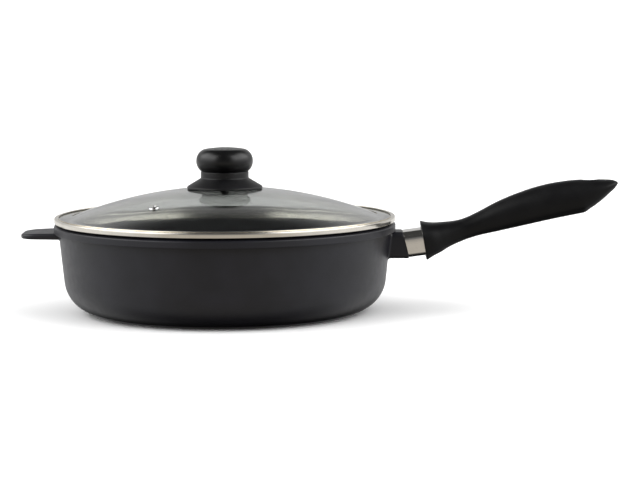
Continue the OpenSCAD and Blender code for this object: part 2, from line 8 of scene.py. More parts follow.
import bmesh
import bpy
import numpy as np
from bpy.props import FloatProperty, FloatVectorProperty, PointerProperty
from mathutils import Matrix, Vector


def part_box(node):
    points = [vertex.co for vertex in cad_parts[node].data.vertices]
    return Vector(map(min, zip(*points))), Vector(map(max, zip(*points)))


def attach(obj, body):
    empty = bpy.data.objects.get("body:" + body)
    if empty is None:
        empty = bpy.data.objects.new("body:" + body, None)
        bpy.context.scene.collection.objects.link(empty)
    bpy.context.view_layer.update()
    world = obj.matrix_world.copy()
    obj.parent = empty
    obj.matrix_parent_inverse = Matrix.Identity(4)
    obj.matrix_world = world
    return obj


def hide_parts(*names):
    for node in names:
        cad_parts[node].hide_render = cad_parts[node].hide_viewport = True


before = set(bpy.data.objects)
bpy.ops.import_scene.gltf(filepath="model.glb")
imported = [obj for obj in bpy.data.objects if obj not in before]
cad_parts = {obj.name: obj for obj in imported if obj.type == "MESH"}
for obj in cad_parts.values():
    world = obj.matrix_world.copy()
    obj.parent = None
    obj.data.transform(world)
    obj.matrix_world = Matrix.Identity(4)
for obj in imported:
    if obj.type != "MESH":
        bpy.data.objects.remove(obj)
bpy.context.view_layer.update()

bl_info = {
    "name": "Saute Pan Looks",
    "version": (1, 0, 0),
    "blender": (4, 5, 0),
    "location": "3D View > Sidebar > Saute Pan",
    "description": "Builds the fine surfaces and finishes of a saute pan with a glass lid on its CAD frame",
    "category": "Add Mesh",
}

MM = 0.001
# In metres: points nearer than MERGE are one point, and a cut that makes a piece GROWTH larger has failed
MERGE, GROWTH = 2e-7, 1e-6
# Overrun of a cut past the face that it opens
OVER = 1.0

# Pan as in the CAD
RIM_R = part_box("pan_body")[1].y / MM
SEAT_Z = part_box("pan_body")[1].z / MM
RIM_H, RIM_BAND_H, RIM_ROUND, RIM_CROWN = 74.4, 6.1, 1.2, 1.6
WALL_TOP_R, WALL_T, WALL_LEAN = RIM_R - 4.0, 3.2, math.radians(5.8)
STEP_Z = RIM_H - RIM_BAND_H
CORNER_R, CORNER_X, CORNER_Z = 29.0, 106.9604, 30.0
FLOOR_R, FLOOR_X, FLOOR_Z, BASE_T = 24.0, 108.7353, 29.5, 5.5
FOOT_R = CORNER_X + CORNER_R * math.sin(math.radians(10.0))
GROOVES, GROOVE_R, GROOVE_PITCH, GROOVE_W, GROOVE_DEPTH = 8, 34.0, 8.9995, 1.4, 0.4
TONGUE_END, TONGUE_W, TONGUE_FLARE, TONGUE_T = RIM_R + 27.3, 46.0, 6.0, 5.4
TONGUE_CORNER, TONGUE_ROUND, TONGUE_TOP, TONGUE_DROP = 13.0, 1.7, STEP_Z + 0.6, 1.2
BOSS_X, BOSS_Z, BOSS_W, BOSS_H, BOSS_LIFT, BOSS_CORNER = WALL_TOP_R + 12.5, 55.8, 31.0, 22.4, 0.6, 4.5

# Handle as in the CAD, in stations along its screw, but with GUARD_CORNER from the photograph
SCREW_RISE, GUARD_RISE = math.radians(14.0), math.radians(7.5)
GUARD_W, GUARD_H, GUARD_CORNER, GUARD_T, GUARD_LIFT, GUARD_BULGE = 32.0, 22.0, 6.8, 0.8, 0.9, 0.25
GUARD_FIT, INSERT_BORE_S, INSERT_BORE_D, SCREW_BORE_D = 0.25, -7.2, 8.2, 5.6
COLLAR_S, NOSE_END_S, TENON_L, COLLAR_ROUND = 15.3, 19.3, 6.0, 0.9
GRIP_L, GRIP_H, GRIP_W, GRIP_BLUNT, TAIL_BLUNT = 170.6, 30.0, 34.0, 2.5, 2.1
COLLAR_LEAN, COLLAR_SHARE = math.radians(4.5), 0.12
SCREW_SEAT, ACCESS_D, HANG_X, HANG_Z, HANG_LEVEL = 66.0, 8.9, 308.489, 110.443, 100.85
HANG_D, HANG_WIDE_D, HANG_CHAMFER = 11.0, 11.8, 3.2
GRIP_TOP = np.array([[0, .555], [.015, .51], [.05, .435], [.082, .39], [.114, .36], [.163, .318],
    [.202, .306], [.242, .33], [.311, .415], [.409, .55], [.508, .634], [.606, .678], [.655, .679],
    [.754, .636], [.852, .539], [.931, .424], [.98, .337], [1, .26]])
GRIP_BOTTOM = np.array([[0, -.57], [.04, -.49], [.075, -.44], [.105, -.38], [.14, -.33], [.163, -.308],
    [.212, -.271], [.271, -.253], [.36, -.268], [.508, -.29], [.626, -.307], [.724, -.332], [.804, -.354],
    [.834, -.3], [.87, -.22], [.906, -.13], [.948, 0], [.98, .1], [1, .2]])
GRIP_SIDE = np.array([[0, .61], [.045, .57], [.094, .49], [.153, .41], [.212, .355], [.271, .345],
    [.37, .385], [.508, .46], [.645, .5], [.764, .495], [.862, .45], [.931, .38], [.97, .3], [.99, .21],
    [1, .12]])
GRIP_BELT = np.array([[0, .5], [.212, .5], [.606, .42], [.803, .45], [1, .55]])

# Lid as in the CAD, but with BAND_GRIP from the photograph
GLASS_T, FLANGE_Z, BEND_X, BEND_R = 3.5, 78.6, 132.65, 14.0
DOME_R, DOME_Z, GLASS_R, GLASS_HOLE_R = 351.784, -248.284, 143.15, 4.5
BAND_R, BAND_T, BAND_GRIP, BAND_ROUND = 143.7, 0.5, 3.3, 1.2
BAND_BOTTOM_Z, BAND_TOP_Z, LIP_R, LIP_BOTTOM_Z = 76.3, 80.9, 135.817, 66.5
VENT_R, VENT_TURN = 89.0, math.radians(232.0)
WELD_TURN, WELD_REACH = math.atan2(135, 44), 2.2
HEAD_CROWN = math.radians(9.2)
APEX_Z, SKIRT_TOP_Z, KNOB_TOP_Z = 105.25, 118.75, 138.75
SPIGOT_R, SPIGOT_H, KNOB_FIT = 12.0, 1.4, 0.1

# Stage, with the camera that fits the photograph's ellipses: its place in metres, its pitch and its roll
FLOOR_REACH, FLOOR_GAP = 60000, 0.02
CAMERA_LENS, CAMERA_SENSOR, CAMERA_PLACE = 133.0, 36.0, (0.0801, -1.9885, 0.2731)
CAMERA_PITCH, CAMERA_ROLL = math.radians(83.878), math.radians(-0.252)

# Inputs of a node that takes a value from one range to another
RANGE = ("Value", "From Min", "From Max", "To Min", "To Max")


def linear(hex_colour):
    """Linear colour of an sRGB hex value such as "2b2b30": each share is raised along sRGB's own curve."""
    share = np.array([int(hex_colour[i:i + 2], 16) / 255 for i in (0, 2, 4)])
    return tuple(np.where(share <= 0.04045, share / 12.92, ((share + 0.055) / 1.055) ** 2.4))


# Curves and surfaces

def arc(centre, radius, start, end, steps):
    """Points centre + radius (cos a, sin a), with a going evenly from start to end in degrees."""
    a = np.radians(np.linspace(start, end, steps + 1))
    return np.array(centre) + radius * np.stack([np.cos(a), np.sin(a)], 1)


def line(*parts):
    """One line of points made of the parts in turn, without repeated points."""
    points = np.concatenate([np.atleast_2d(np.array(p, float)) for p in parts])
    keep = np.r_[True, np.linalg.norm(np.diff(points, axis=0), axis=1) > 1e-5]
    return points[keep]


def held(points, reach=0.3, closed=False):
    """Adds a point reach inside both ends of every long stretch, so that smooth shading stays flat
    there."""
    here = points if closed else points[:-1]
    step = (np.roll(points, -1, 0) if closed else points[1:]) - here
    length = np.linalg.norm(step, axis=1, keepdims=True)
    share = np.where(length > 4 * reach, reach / np.maximum(length, reach), 0)
    filled = np.stack([here, here + step * share, here + step * (1 - share)], 1).reshape(-1, 2)
    return line(filled if closed else np.concatenate([filled, points[-1:]]))


def smooth(table, x):
    """Smooth curve through a table of [place, value]: cubic pieces whose slope at a knot is the harmonic
    mean of the slopes beside it, and level where they turn."""
    place, value = table.T
    rise = np.diff(value) / np.diff(place)
    before, after = rise[:-1], rise[1:]
    total = np.where(before + after == 0, 1, before + after)
    mean = np.where(before * after > 0, 2 * before * after / total, 0)
    slope = np.r_[rise[0], mean, rise[-1]]
    i = np.clip(np.searchsorted(place, x, "right") - 1, 0, len(place) - 2)
    w = place[i + 1] - place[i]
    u = (x - place[i]) / w
    return (value[i] * (1 + 2 * u) * (1 - u) ** 2 + value[i + 1] * u * u * (3 - 2 * u)
        + w * (slope[i] * u * (1 - u) ** 2 + slope[i + 1] * u * u * (u - 1)))


def quads(rows, columns, rows_close=False):
    """Quads of a grid of points whose columns close on themselves, and whose rows do if rows_close."""
    i = np.arange(rows if rows_close else rows - 1)[:, None]
    j = np.arange(columns)[None, :]
    down, right = (i + 1) % rows, (j + 1) % columns
    corners = [i * columns + j, i * columns + right, down * columns + right, down * columns + j]
    return np.stack(np.broadcast_arrays(*corners), -1).reshape(-1, 4)


def turned(profile, sides=288, closed=False, finish=None):
    """Surface of revolution about z: each point (r, z) of the profile goes round as (r cos a, r sin a, z).
    finish gives the material number of each row."""
    a = np.linspace(0, 2 * np.pi, sides, endpoint=False)
    r, z = profile.T[:, :, None]
    grid = np.stack(np.broadcast_arrays(r * np.cos(a), r * np.sin(a), z), -1)
    faces = quads(len(profile), sides, closed)
    rows = len(faces) // sides
    number = np.zeros(rows, int) if finish is None else np.asarray(finish)[:rows]
    return grid, faces, np.repeat(number, sides)


def skin(grid, rows_close=False):
    """A grid of points and the quads between them, all of the piece's first material."""
    faces = quads(*grid.shape[:2], rows_close)
    return grid, faces, np.zeros(len(faces), int)


def lofted(rings):
    """Closed skin over rings of points: each ring joins the next, and both ends draw in to their
    middles."""
    rings = np.asarray(rings, float)
    ends = [np.broadcast_to(rings[k].mean(0), rings[k].shape)[None] for k in (0, -1)]
    return skin(np.concatenate([ends[0], rings, ends[1]]))


def rounded_rect(width, height, corner, steps=10):
    """Closed outline of a rectangle about the origin with quarter rounds at its corners."""
    signs = ((1, 1), (-1, 1), (-1, -1), (1, -1))
    x, y = width / 2 - corner, height / 2 - corner
    return line(*[arc((sx * x, sy * y), corner, 90 * k, 90 * k + 90, steps)
        for k, (sx, sy) in enumerate(signs)])


def on_screw(points):
    """Places in the frame of stations along the handle's screw, which are turned up by its rise."""
    s, y, h = np.moveaxis(np.asarray(points, float), -1, 0)
    c, n = math.cos(SCREW_RISE), math.sin(SCREW_RISE)
    return np.stack([BOSS_X + s * c - h * n, y, BOSS_Z + s * n + h * c], -1)


def on_axis(shell, place, lean, turn=0.0):
    """Stands a turned shell at a place, its z axis leaned towards +x and then turned about z."""
    grid, faces, number = shell
    matrix = np.array(Matrix.Rotation(turn, 3, "Z") @ Matrix.Rotation(lean, 3, "Y"))
    return grid @ matrix.T + np.array(place), faces, number


def rod(start_s, end_s, diameter):
    """Round bar along the handle's screw between two stations."""
    r = diameter / 2
    shell = turned(line((0, 0), (r, 0), (r, end_s - start_s), (0, end_s - start_s)), 64)
    return on_axis(shell, on_screw([start_s, 0, 0]), math.pi / 2 - SCREW_RISE)


def guard_outline(width, height, corner, station):
    """Outline of the sleeve's section at a station of the screw: the sleeve rises less than the screw, so
    each point slides down its plane by station times the tangent of the difference."""
    y, h = rounded_rect(width, height, corner).T
    y = y - np.sign(y) * GUARD_BULGE * (2 * h / height) ** 2
    less = SCREW_RISE - GUARD_RISE
    return on_screw(np.stack([np.full_like(y, station), y,
        (h + GUARD_LIFT) / math.cos(less) - station * math.tan(less)], -1))


def sleeve_outline(inset, station):
    """Outline of the sleeve's own section, drawn in by inset."""
    return guard_outline(GUARD_W - 2 * inset, GUARD_H - 2 * inset, GUARD_CORNER - inset, station)


def fillet(path, wall_way, part_way, radius, steps=10, sink=0.6):
    """Concave root between a wall and what stands on it, closed along its path: a quarter circle of points
    path + radius ((1 - cos a) wall_way + (1 - sin a) part_way), and one point that sinks into the metal."""
    a = np.linspace(0, np.pi / 2, steps + 1)[:, None, None]
    bow = path + radius * ((1 - np.cos(a)) * wall_way + (1 - np.sin(a)) * part_way)
    sunk = path - sink * (wall_way + part_way)
    return skin(np.concatenate([bow, sunk[None]]), rows_close=True)


# Pieces

def piece(name, shells, sharp=32.0):
    """Makes one mesh of closed shells: points to metres, doubles merged, faces outwards, smooth but for
    edges sharper than the angle."""
    starts = np.cumsum([0] + [grid.size // 3 for grid, _, _ in shells])
    points = np.concatenate([grid.reshape(-1, 3) for grid, _, _ in shells]) * MM
    faces = np.concatenate([f + start for (_, f, _), start in zip(shells, starts)])
    mesh = bpy.data.meshes.new(name)
    mesh.from_pydata(points.tolist(), [], faces.tolist())
    mesh.polygons.foreach_set("material_index", np.concatenate([n for _, _, n in shells]).astype(np.int32))
    body = bmesh.new()
    body.from_mesh(mesh)
    bmesh.ops.remove_doubles(body, verts=body.verts, dist=MERGE)
    bmesh.ops.recalc_face_normals(body, faces=body.faces)
    body.to_mesh(mesh)
    body.free()
    shade(mesh, sharp)
    made = bpy.data.objects.new(name, mesh)
    bpy.context.scene.collection.objects.link(made)
    return made


def shade(mesh, sharp):
    """Smooth shading, but for edges sharper than the angle."""
    mesh.polygons.foreach_set("use_smooth", np.ones(len(mesh.polygons), bool))
    mesh.set_sharp_from_angle(angle=math.radians(sharp))
    mesh.update()


def reach_of(mesh):
    """Lowest and highest corner of a mesh."""
    places = np.empty(len(mesh.vertices) * 3)
    mesh.vertices.foreach_get("co", places)
    places = places.reshape(-1, 3)
    return np.stack([places.min(0), places.max(0)])


def cut(made, shells, sharp=32.0):
    """Takes the shells' volumes out of a piece, which mustn't grow or vanish by it."""
    tools = [piece("tool", [shell]) for shell in shells]
    for tool in tools:
        step = made.modifiers.new("cut", "BOOLEAN")
        step.operation, step.solver, step.object = "DIFFERENCE", "EXACT", tool
    whole = made.data
    before = reach_of(whole)
    made_mesh = bpy.data.meshes.new_from_object(made.evaluated_get(bpy.context.evaluated_depsgraph_get()))
    made.modifiers.clear()
    made.data = made_mesh
    made_mesh.name = made.name
    bpy.data.meshes.remove(whole)
    for tool in tools:
        bpy.data.meshes.remove(tool.data)
    grown = (reach_of(made_mesh) - before) * [[-1], [1]]
    if not made_mesh.polygons or grown.max() > GROWTH:
        raise RuntimeError(f"{made.name} is cut wrongly")
    shade(made_mesh, sharp)


def add_shells(made, shells, sharp=32.0):
    """Adds closed shells to a piece that has been cut."""
    extra = piece("extra", shells)
    body = bmesh.new()
    body.from_mesh(made.data)
    body.from_mesh(extra.data)
    body.to_mesh(made.data)
    body.free()
    bpy.data.meshes.remove(extra.data)
    shade(made.data, sharp)


def settle(made, body, slot, node, *materials):
    """Rides the piece on its body in place of its CAD node, with its materials. The slot is not used."""
    for material in materials:
        made.data.materials.append(material)
    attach(made, body)
    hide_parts(node)
    return made


# Materials

def feed(tree, node, sockets):
    """Gives each named or numbered input of a node a value, a link, or another node's first output."""
    for name, value in sockets.items():
        if isinstance(value, bpy.types.Node):
            value = value.outputs[0]
        if isinstance(value, bpy.types.NodeSocket):
            tree.links.new(value, node.inputs[name])
        else:
            node.inputs[name].default_value = value
    return node


def add(tree, kind, sockets=None, **settings):
    """Adds one shader node with its own settings, and feeds its inputs."""
    made = tree.nodes.new("ShaderNode" + kind)
    for name, value in settings.items():
        setattr(made, name, value)
    return feed(tree, made, sockets or {})


def start(name, sockets):
    """A new material that holds only its shader: returns it, its tree and the place on the piece."""
    made = bpy.data.materials.new(name)
    made.use_nodes = True
    tree = made.node_tree
    feed(tree, tree.nodes["Principled BSDF"], sockets)
    return made, tree, add(tree, "TexCoord").outputs["Object"]


def surface(made, tint, rough, between=(0.0, 1.0), relief=None):
    """Ends a finish: one pattern leads the colour from dark to light, another the roughness from low to
    high while it goes between two values, and a third stands up as relief of a depth in millimetres."""
    tree = made.node_tree
    pattern, dark, light = tint
    colour = add(tree, "Mix", {0: pattern, 6: (*dark, 1), 7: (*light, 1)}, data_type="RGBA")
    pattern, low, high = rough
    matte = add(tree, "MapRange", dict(zip(RANGE, (pattern, *between, low, high))))
    sockets = {"Base Color": colour.outputs[2], "Roughness": matte}
    if relief:
        pattern, depth_mm = relief
        sockets["Normal"] = add(tree, "Bump", {"Height": pattern, "Distance": depth_mm * MM})
    feed(tree, tree.nodes["Principled BSDF"], sockets)
    return made


def per(size_mm):
    """Scale of a pattern whose lumps are about that many millimetres across."""
    return 1 / (size_mm * MM)


def round_the_axis(tree, place, lean=0.3):
    """Place with its turn about z taken away: a pattern on it runs round the piece, as turning or rolling
    marks do."""
    split = add(tree, "SeparateXYZ", {0: place})
    flat = add(tree, "CombineXYZ", {0: split.outputs[0], 1: split.outputs[1]})
    reach = add(tree, "VectorMath", {0: flat}, operation="LENGTH").outputs["Value"]
    wander = add(tree, "Math", {0: split.outputs[0], 1: lean * MM}, operation="MULTIPLY")
    return add(tree, "CombineXYZ", {0: reach, 1: split.outputs[2], 2: wander})


def baked_coating(looks):
    """Cast aluminium, sprayed and baked satin: dark and a little blue, with a soft sheen that brightens
    towards the edges, faint clouds from the spray gun and a fine orange peel."""
    made, tree, place = start("sprayed_baked_coating", {"IOR": 1.42})
    cloud = add(tree, "TexNoise", {"Vector": place, "Scale": per(28), "Detail": 3.0})
    span = add(tree, "MapRange", {"Value": cloud, "From Min": 0.35, "From Max": 0.65})
    patch = add(tree, "TexNoise", {"Vector": place, "Scale": per(6), "Detail": 2.0})
    # The peel of a sprayed coating is about 0.4 mm across, and is drawn at 1 mm so that it shows
    peel = add(tree, "TexNoise", {"Vector": place, "Scale": per(1.0), "Detail": 2.0})
    return surface(made, tint=(span, looks.coat_dark, looks.coat_light), between=(0.3, 0.7),
        rough=(patch, looks.coat_rough - 0.03, looks.coat_rough + 0.03), relief=(peel, 0.012))


def nonstick_coating(looks):
    """Non-stick coating inside the pan: dark grey, softer than the outside, with pale specks in it."""
    made, tree, place = start("rolled_nonstick_coating", {"IOR": 1.4})
    speck = add(tree, "TexVoronoi", {"Vector": place, "Scale": per(1.6)})
    dot = add(tree, "MapRange", {"Value": speck, "From Min": 0.16, "From Max": 0.1})
    patch = add(tree, "TexNoise", {"Vector": place, "Scale": per(9), "Detail": 3.0})
    # The coating's grain is about 0.3 mm across, and is drawn at 0.8 mm so that it shows
    grain = add(tree, "TexNoise", {"Vector": place, "Scale": per(0.8), "Detail": 2.0})
    return surface(made, tint=(dot, looks.inside, linear("6a6a6c")), rough=(patch, 0.36, 0.5),
        relief=(grain, 0.02))


def turned_aluminium():
    """Bare cast aluminium faced on a lathe: bright, with cutter rings that stretch the highlights."""
    made, tree, place = start("lathe_faced_aluminium", {"Metallic": 1.0})
    ringed = round_the_axis(tree, place)
    # Cutter marks are about 0.2 mm apart, and are drawn 0.7 mm apart so that they show
    ring = add(tree, "TexNoise", {"Vector": ringed, "Scale": per(0.7), "Detail": 2.0})
    band = add(tree, "TexNoise", {"Vector": ringed, "Scale": per(7), "Detail": 2.0})
    return surface(made, tint=(band, linear("a9a9a8"), linear("cfcfcc")), rough=(ring, 0.22, 0.42),
        between=(0.3, 0.7), relief=(ring, 0.03))


def drawn_stainless(looks):
    """Stainless sleeve, drawn and polished: mirror-like, slightly warm, with faint lines along it."""
    made, tree, place = start("drawn_polished_stainless", {"Metallic": 1.0})
    along = add(tree, "Mapping", {"Vector": place, "Rotation": (0, GUARD_RISE, 0), "Scale": (0.02, 1, 1)})
    # Draw lines are about 0.1 mm apart, and are drawn 0.4 mm apart so that they show
    streak = add(tree, "TexNoise", {"Vector": along, "Scale": per(0.4), "Detail": 3.0})
    smear = add(tree, "TexNoise", {"Vector": place, "Scale": per(7), "Detail": 2.0})
    return surface(made, tint=(smear, looks.guard_colour, linear("eeebe6")), rough=(streak, 0.1, 0.2),
        between=(0.3, 0.7), relief=(streak, 0.004))


def rolled_stainless(looks):
    """Bright stainless strip rolled round the glass: warm, glossy, with rolling streaks that run round the
    lid."""
    made, tree, place = start("rolled_stainless_strip", {"Metallic": 1.0})
    # Rolling marks are about 0.1 mm apart, and are drawn 0.5 mm apart so that they show
    streak = add(tree, "TexNoise", {"Vector": round_the_axis(tree, place), "Scale": per(0.5), "Detail": 3.0})
    smear = add(tree, "TexNoise", {"Vector": place, "Scale": per(14), "Detail": 2.0})
    return surface(made, tint=(smear, looks.band_dark, looks.band_light), rough=(streak, 0.14, 0.26),
        between=(0.3, 0.7), relief=(streak, 0.006))


def polished_stainless():
    """Rolled and polished eyelet: near mirror with small rubbed patches."""
    made, tree, place = start("polished_stainless_eyelet", {"Metallic": 1.0})
    patch = add(tree, "TexNoise", {"Vector": place, "Scale": per(1.2), "Detail": 3.0})
    return surface(made, tint=(patch, linear("c4c4c4"), linear("e6e6e4")), rough=(patch, 0.12, 0.26))


def toughened_glass(looks):
    """Pressed and toughened soda-lime glass: clear with a faint green-grey tint, slight waves from the
    press and a trace of haze."""
    made, tree, place = start("toughened_soda_lime_glass", {"IOR": 1.52, "Transmission Weight": 1.0})
    haze = add(tree, "TexNoise", {"Vector": place, "Scale": per(22), "Detail": 4.0})
    wave = add(tree, "TexNoise", {"Vector": place, "Scale": per(45), "Detail": 1.0})
    return surface(made, tint=(haze, looks.glass_tint, looks.glass_clear), rough=(haze, 0.0, 0.03),
        between=(0.35, 0.75), relief=(wave, 0.12))


def moulded_phenolic(name, dark, light, shine, rough, grain_mm, depth_mm):
    """Compression-moulded phenolic: near black, with specks of its wood-flour filler and the mould's fine
    blasting."""
    made, tree, place = start(name, {"IOR": 1.55, "Specular IOR Level": shine})
    flow = add(tree, "TexNoise", {"Vector": place, "Scale": per(16), "Detail": 4.0})
    # Filler specks and blasting marks are about 0.2 mm across, and are drawn coarser so that they show
    speck = add(tree, "TexNoise", {"Vector": place, "Scale": per(0.7), "Detail": 2.0})
    mixed = add(tree, "Math", {0: flow, 1: speck}, operation="MULTIPLY")
    span = add(tree, "MapRange", {"Value": mixed, "From Min": 0.15, "From Max": 0.38})
    grain = add(tree, "TexNoise", {"Vector": place, "Scale": per(grain_mm), "Detail": 2.0})
    return surface(made, tint=(span, dark, light), rough=(flow, *rough), between=(0.3, 0.7),
        relief=(grain, depth_mm))


def zinc_plated_steel():
    """Zinc-plated fastener steel: grey metal with a faint yellow and blue bloom and fine plating grain."""
    made, tree, place = start("zinc_plated_steel", {"Metallic": 1.0})
    bloom = add(tree, "TexNoise", {"Vector": place, "Scale": per(3), "Detail": 3.0})
    # Plating grains are about 0.05 mm across, and are drawn at 0.3 mm so that they show
    grain = add(tree, "TexNoise", {"Vector": place, "Scale": per(0.3), "Detail": 2.0})
    return surface(made, tint=(bloom, linear("9da2a8"), linear("b5b19d")), rough=(bloom, 0.25, 0.45),
        relief=(grain, 0.01))


def turned_brass():
    """Turned brass insert: yellow metal with the lathe's rings."""
    made, tree, place = start("turned_brass", {"Metallic": 1.0})
    # Lathe rings are about 0.1 mm apart, and are drawn 0.4 mm apart so that they show
    ring = add(tree, "TexNoise", {"Vector": round_the_axis(tree, place), "Scale": per(0.4), "Detail": 2.0})
    return surface(made, tint=(ring, linear("a98a3f"), linear("cdb068")), rough=(ring, 0.2, 0.4),
        relief=(ring, 0.01))


def moulded_silicone():
    """Black moulded silicone: soft matte with a little dust on it."""
    made, tree, place = start("moulded_silicone", {"IOR": 1.41})
    dust = add(tree, "TexNoise", {"Vector": place, "Scale": per(1.5), "Detail": 4.0})
    return surface(made, tint=(dust, linear("141414"), linear("2c2c2b")), rough=(dust, 0.55, 0.75))


def pale_paper(looks):
    """Seamless photographic paper: pale and matte, with a fine tooth."""
    made, tree, place = start("seamless_paper", {"IOR": 1.45})
    # The paper's tooth is about 0.3 mm across, and is drawn at 2.5 mm so that it shows
    tooth = add(tree, "TexNoise", {"Vector": place, "Scale": per(2.5), "Detail": 3.0})
    return surface(made, tint=(tooth, looks.floor_dark, looks.floor_light), rough=(tooth, 0.7, 0.8))


# What a user can change

def hue(label, hex_colour, description):
    """A colour that a user can change, given as a hex value."""
    return FloatVectorProperty(name=label, description=description, subtype="COLOR", size=3, min=0, max=1,
        default=linear(hex_colour))


class PanLooks(bpy.types.PropertyGroup):
    coat_dark: hue("Coating, dark", "16161b", "Darker shade of the coating outside")
    coat_light: hue("Coating, light", "1c1c22", "Lighter shade of the coating outside")
    inside: hue("Inside", "484a4f", "Colour of the non-stick coating")
    coat_rough: FloatProperty(name="Coating roughness", description="How matte the coating outside is",
        default=0.38, min=0.1, max=0.9, subtype="FACTOR")
    boss_root: FloatProperty(name="Boss root radius", description="Radius of the root between wall and boss",
        default=2.5 * MM, min=0.5 * MM, max=4 * MM, unit="LENGTH")
    tongue_root: FloatProperty(name="Tongue root radius",
        description="Radius of the root between wall and tongue", default=1.8 * MM, min=0.5 * MM, max=3 * MM,
        unit="LENGTH")


class HandleLooks(bpy.types.PropertyGroup):
    guard_colour: hue("Guard", "dedbd6", "Colour of the steel sleeve")
    grip_dark: hue("Grip, dark", "080809", "Darker shade of the grip")
    grip_light: hue("Grip, light", "0d0d0e", "Lighter shade of the grip")


class LidLooks(bpy.types.PropertyGroup):
    glass_tint: hue("Glass tint", "cdd0cd", "Deeper tint of the glass")
    glass_clear: hue("Glass, clear", "d8dad8", "Lighter tint of the glass")
    band_dark: hue("Band, dark", "dad4c8", "Darker shade of the steel band")
    band_light: hue("Band, light", "ece8df", "Lighter shade of the steel band")
    weld_dip: FloatProperty(name="Weld dip", description="How far the band's lip hangs lower at its weld",
        default=0.8 * MM, min=0, max=1.5 * MM, unit="LENGTH")
    knob_dark: hue("Knob head, dark", "090909", "Darker shade of the knob's head")
    knob_light: hue("Knob head, light", "0e0e0f", "Lighter shade of the knob's head")
    skirt_dark: hue("Knob skirt, dark", "080809", "Darker shade of the knob's skirt")
    skirt_light: hue("Knob skirt, light", "0e0e10", "Lighter shade of the knob's skirt")


class StageLooks(bpy.types.PropertyGroup):
    floor_dark: hue("Floor, dark", "f2f2f2", "Darker shade of the floor")
    floor_light: hue("Floor, light", "f8f8f8", "Lighter shade of the floor")
    sky: hue("Surroundings", "ffffff", "Colour of the surroundings")
    ground: hue("Ground", "fcf5ea", "Colour of the ground in front of the pan")
    front_share: FloatProperty(name="Front", description="Brightness of the surroundings behind the camera",
        default=0.17, min=0, max=1, subtype="FACTOR")
    ground_share: FloatProperty(name="Ground brightness",
        description="Brightness of the ground in front of the pan", default=0.54, min=0, max=1,
        subtype="FACTOR")
    backdrop_share: FloatProperty(name="Backdrop",
        description="Brightness of the surroundings just over the horizon", default=0.6, min=0, max=1,
        subtype="FACTOR")
    ceiling_share: FloatProperty(name="Ceiling", description="Brightness of the surroundings overhead",
        default=0.05, min=0, max=1, subtype="FACTOR")
    floor_power: FloatProperty(name="Floor light", description="Strength of the light on the floor",
        default=2.4, min=0, max=20)
    side_share: FloatProperty(name="Side boxes", description="Brightness of the soft boxes along both sides",
        default=3.3, min=0, max=10)


# Operators

class SAUTE_OT_pan_body(bpy.types.Operator):
    """Build the cast pan: turned shell, handle boss and helper tongue"""
    bl_idname = "saute.pan_body"
    bl_label = "Pan body"

    def execute(self, context):
        looks = context.scene.saute_pan
        coat, inside, base = baked_coating(looks), nonstick_coating(looks), turned_aluminium()
        base_line, wall_line, inner_line = pan_lines()
        profile = np.concatenate([base_line, wall_line[1:], inner_line[1:]])
        number = np.repeat([2, 0, 1], [len(base_line) - 1, len(wall_line) - 1, len(inner_line) - 1])
        shell = piece("pan_shell", [turned(profile, finish=number)])
        settle(shell, "pan", "cast_body", "pan_body", coat, inside, base)
        boss = piece("handle_boss", [boss_shell()])
        cut(boss, [rod(INSERT_BORE_S, TENON_L + 4 * OVER, INSERT_BORE_D)])
        add_shells(boss, [boss_root(looks.boss_root / MM)])
        settle(boss, "pan", "cast_body", "pan_body", coat)
        tongue = piece("helper_tongue", [tongue_shell(), tongue_root(looks.tongue_root / MM)])
        settle(tongue, "pan", "cast_body", "pan_body", coat)
        return {"FINISHED"}


def wall_r(z):
    """Outer radius of the leaning wall at a height."""
    return WALL_TOP_R + (z - STEP_Z) * math.tan(WALL_LEAN)


def pan_lines():
    """Section of the pan in three lines: the turned base with its grooves, the outside up to the seat's
    inner edge, and the inside down to the middle of the floor. The foot's edge is bevelled, and a small
    round lies in the step under the rim band."""
    slant, bevel_w, bevel_h, inner_round = 0.2, 0.3, 0.12, 0.5
    starts = GROOVE_R + GROOVE_PITCH * np.arange(GROOVES)
    grooves = [line((r, 0), (r + slant, GROOVE_DEPTH), (r + GROOVE_W - slant, GROOVE_DEPTH),
        (r + GROOVE_W, 0)) for r in starts]
    lean, edge = math.degrees(WALL_LEAN), RIM_ROUND / 2
    mouth = wall_r(SEAT_Z) - WALL_T
    base = held(line((0, 0), *grooves, (FOOT_R - bevel_w, 0), (FOOT_R, bevel_h)))
    outside = held(line((FOOT_R, bevel_h), arc((CORNER_X, CORNER_Z), CORNER_R, -80, -lean, 40),
        arc((WALL_TOP_R + inner_round, STEP_Z - inner_round), inner_round, 180, 90, 4),
        arc((RIM_R - edge, STEP_Z + edge), edge, -90, 0, 8),
        arc((RIM_R - RIM_ROUND, RIM_H - RIM_ROUND), RIM_ROUND, 0, 75, 10),
        (mouth + RIM_CROWN, SEAT_Z), arc((mouth + edge, SEAT_Z - edge), edge, 90, 180, 8)))
    inside = held(line((mouth, SEAT_Z - edge), arc((FLOOR_X, FLOOR_Z), FLOOR_R, -lean, -90, 32), (0, BASE_T)))
    return base, outside, inside


